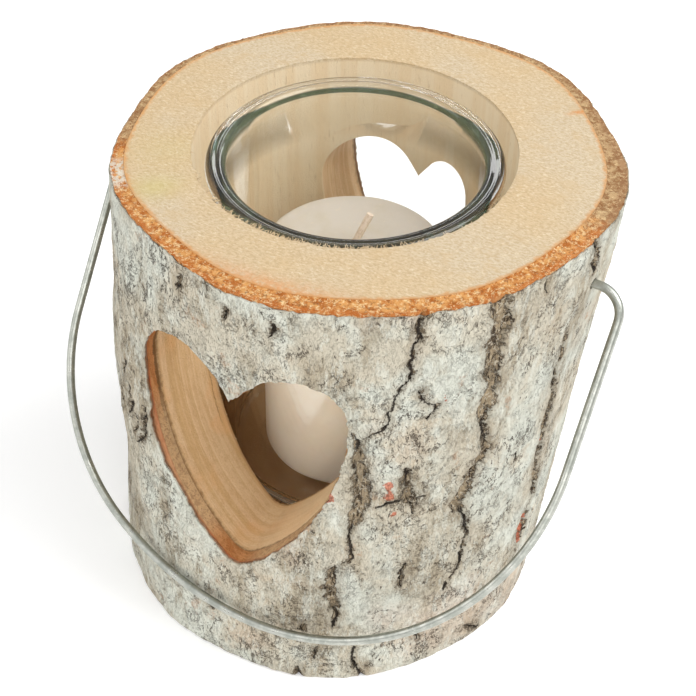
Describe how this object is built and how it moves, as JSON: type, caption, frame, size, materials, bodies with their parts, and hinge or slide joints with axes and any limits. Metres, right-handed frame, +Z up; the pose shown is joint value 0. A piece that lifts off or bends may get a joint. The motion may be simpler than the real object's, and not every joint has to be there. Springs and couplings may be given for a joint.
{
  "type": "candle lantern",
  "caption": "Candle lantern made from a bored log section with bark, a heart window cut through it, a glass cup with a pillar candle, and a swinging wire bail.",
  "frame": {"origin": "where the axis of the bore meets the plane that the log stands on", "axes": "+Z up along the bore, -Y towards the front heart, X along the bail's pivot line with +X on the right from the front"},
  "size_m": [0.1554, 0.1371, 0.14],
  "materials": {
    "birch_wood": "sawn and sanded",
    "bast": "rough fibrous inner bark",
    "white_bark": "matte papery bark with dark fissures",
    "green_glass": "polished, slightly green",
    "wax": "smooth paraffin wax",
    "cotton_wick": "waxed braided cotton",
    "tinplate": "thin tinned sheet",
    "galvanised_wire": "dull galvanised"
  },
  "bodies": {
    "log": {"wood_core": "birch_wood", "inner_bark": "bast", "outer_bark": "white_bark"},
    "bail": {"bail_handle": "galvanised_wire"},
    "glass": {"glass_insert": "green_glass"},
    "candle": {"candle": "wax", "wick": "cotton_wick", "wick_sustainer": "tinplate"}
  },
  "joints": [
    {"name": "bail_swing", "type": "hinge", "parent": "log", "child": "bail", "pos_m": [0, 0, 0.1213], "axis": [-1, 0, 0], "range_deg": [0, 292]},
    {"name": "glass_lift", "type": "slide", "parent": "log", "child": "glass", "axis": [0, 0, 1], "range_m": [0, 0.112]},
    {"name": "candle_lift", "type": "slide", "parent": "glass", "child": "candle", "axis": [0, 0, 1], "range_m": [0, 0.103]}
  ]
}
